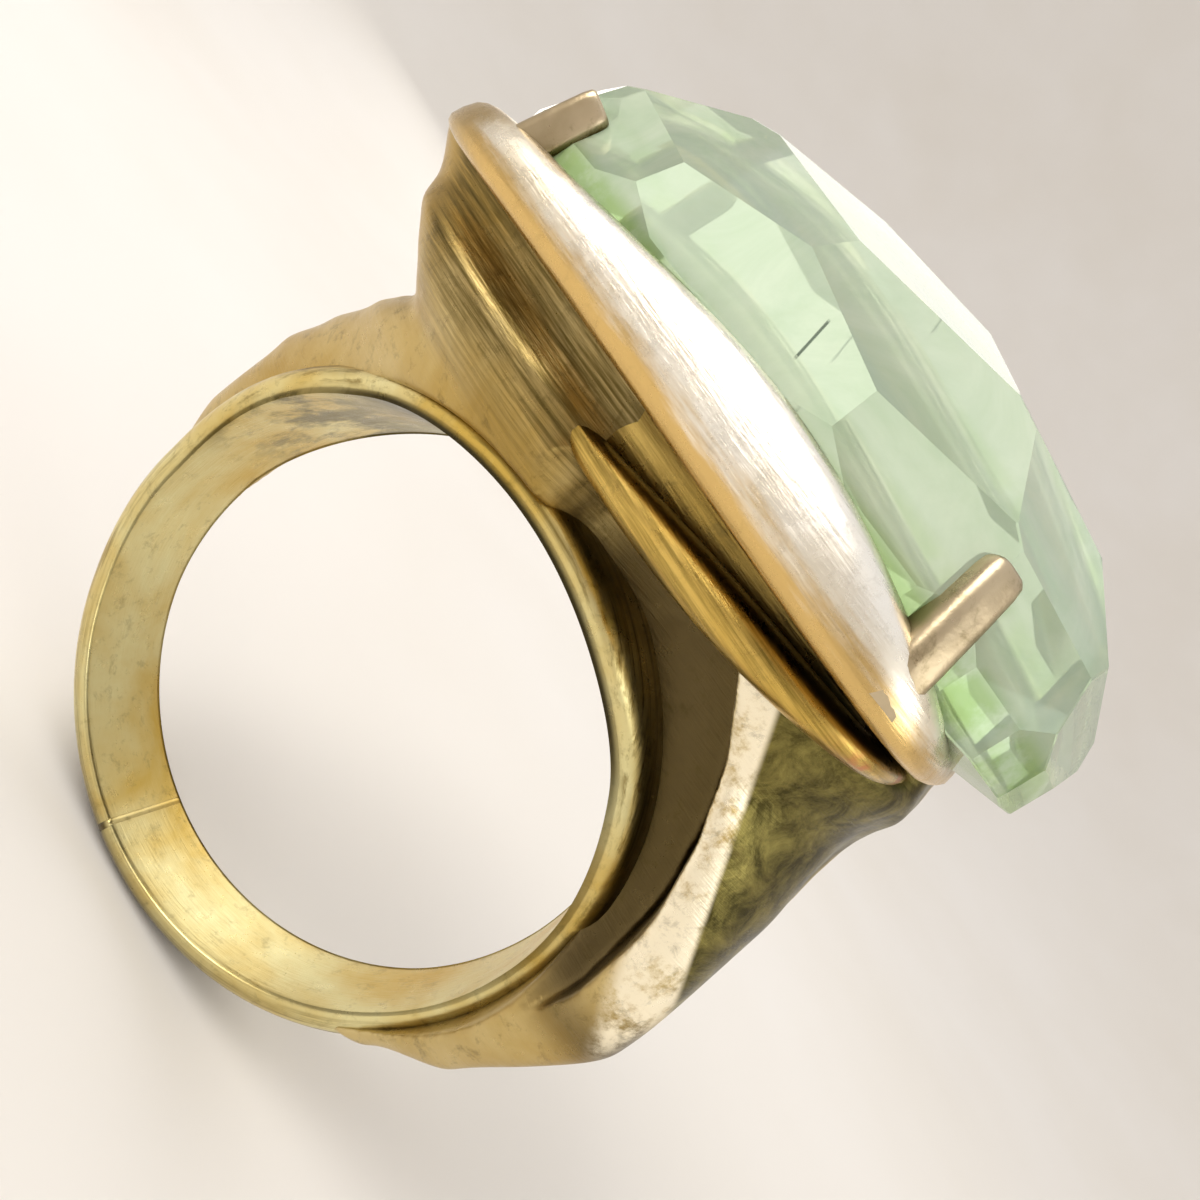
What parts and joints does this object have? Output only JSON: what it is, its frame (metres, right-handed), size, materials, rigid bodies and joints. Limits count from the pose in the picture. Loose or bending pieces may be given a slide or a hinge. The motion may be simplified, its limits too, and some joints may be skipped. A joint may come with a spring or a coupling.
{
  "type": "cocktail ring",
  "caption": "Cocktail ring with a large faceted cushion stone in a twisted two-tier claw setting on a tapered finger band.",
  "frame": {"origin": "centre of the finger bore, on its axis, midway across the band", "axes": "+X across the face of the ring, +Y along the finger, +Z from the finger bore up to the stone"},
  "size_m": [0.0226, 0.0184, 0.0292],
  "materials": {
    "gilt_metal": "worn polished gilt with dark patina in the hollows",
    "solder": "dull tarnished solder",
    "green_stone": "polished flat facets"
  },
  "bodies": {
    "root": {"finger_band": "gilt_metal", "sizing_seam": "solder", "shoulder_right": "gilt_metal", "shoulder_left": "gilt_metal", "gallery_base": "gilt_metal", "lower_lip": "gilt_metal", "gallery_wall": "gilt_metal", "stone_seat": "gilt_metal", "upper_rim": "gilt_metal", "claw_front_left": "gilt_metal", "claw_front_right": "gilt_metal", "claw_back_left": "gilt_metal", "claw_back_right": "gilt_metal", "stone": "green_stone"}
  },
  "joints": []
}
